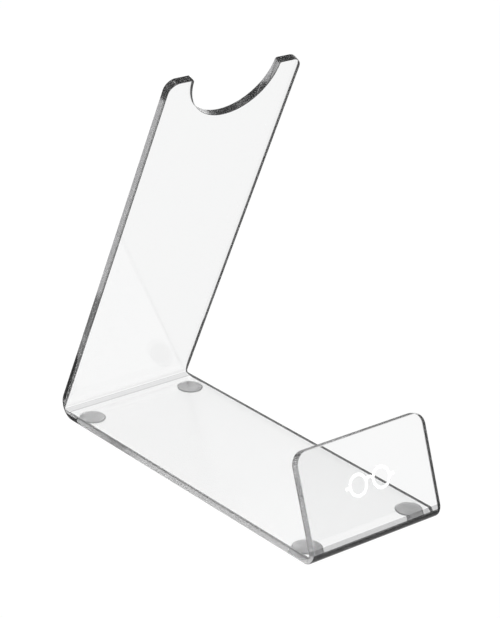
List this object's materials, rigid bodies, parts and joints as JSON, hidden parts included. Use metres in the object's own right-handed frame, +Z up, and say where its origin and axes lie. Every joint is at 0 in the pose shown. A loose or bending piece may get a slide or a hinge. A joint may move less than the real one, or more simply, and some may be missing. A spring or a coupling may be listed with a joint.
{
  "type": "eyeglasses display stand",
  "caption": "Clear bent-acrylic stand for a pair of glasses: leaning tall panel with a half-round bridge notch, flat base on stick-on feet, short lip in front.",
  "frame": {"origin": "middle of the footprint's box, at the plane that the four feet stand on", "axes": "+X across the sheet's width, -Y towards the lip (the front), +Y towards the tall panel's bend, +Z up"},
  "size_m": [0.06, 0.148, 0.1518],
  "materials": {
    "clear_acrylic": "clear cast acrylic sheet, flame-polished edges",
    "foot_rubber": "satin translucent grey polyurethane",
    "adhesive_film": "clear transfer adhesive, slightly milky",
    "white_ink": "matt white screen-printed ink"
  },
  "bodies": {
    "root": {"acrylic_sheet": "clear_acrylic", "foot_pad_front_left": "foot_rubber", "foot_pad_front_right": "foot_rubber", "foot_pad_back_left": "foot_rubber", "foot_pad_back_right": "foot_rubber", "foot_adhesive_front_left": "adhesive_film", "foot_adhesive_front_right": "adhesive_film", "foot_adhesive_back_left": "adhesive_film", "foot_adhesive_back_right": "adhesive_film", "printed_mark": "white_ink"}
  },
  "joints": []
}
